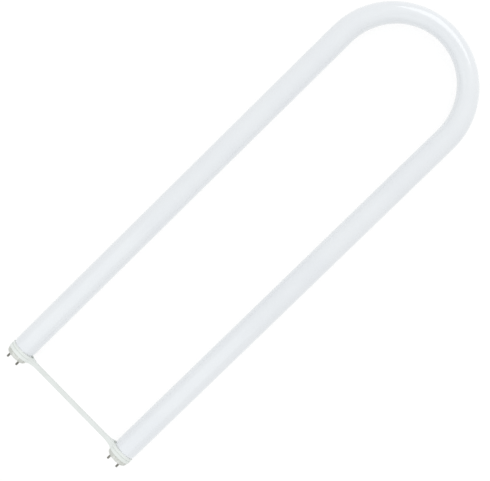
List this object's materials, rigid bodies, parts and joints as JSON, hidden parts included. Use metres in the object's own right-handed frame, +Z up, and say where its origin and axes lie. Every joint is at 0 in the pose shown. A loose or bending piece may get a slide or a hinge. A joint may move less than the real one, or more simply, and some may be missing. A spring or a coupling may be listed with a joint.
{
  "type": "u-shaped fluorescent tube",
  "caption": "U-shaped fluorescent lamp tube: parallel glass legs joined by a half-round bend, pinned metal caps at the ends and a moulded brace bar between them.",
  "frame": {"origin": "on the surface the lamp lies on, under the middle of its box", "axes": "+X across the legs towards the right leg, +Y along the legs towards the bend, +Z up from the surface; the contact pins point to -Y"},
  "size_m": [0.1786, 0.577, 0.0262],
  "materials": {
    "coated_glass": "clear glossy glass over a white coating, opaque",
    "brace_plastic": "natural pale grey-green moulded plastic",
    "cap_metal": "drawn, satin",
    "insulator_board": "moulded, matt, olive grey",
    "contact_brass": "dulled",
    "cement": "matt",
    "lead_copper": "drawn wire"
  },
  "bodies": {
    "root": {"glass_tube": "coated_glass", "spacer_brace": "brace_plastic", "left_cap_shell": "cap_metal", "left_cap_cement": "cement", "left_pin_insulator": "insulator_board", "left_outer_pin": "contact_brass", "left_outer_lead_wire": "lead_copper", "left_inner_pin": "contact_brass", "left_inner_lead_wire": "lead_copper", "right_cap_shell": "cap_metal", "right_cap_cement": "cement", "right_pin_insulator": "insulator_board", "right_outer_pin": "contact_brass", "right_outer_lead_wire": "lead_copper", "right_inner_pin": "contact_brass", "right_inner_lead_wire": "lead_copper"}
  },
  "joints": []
}
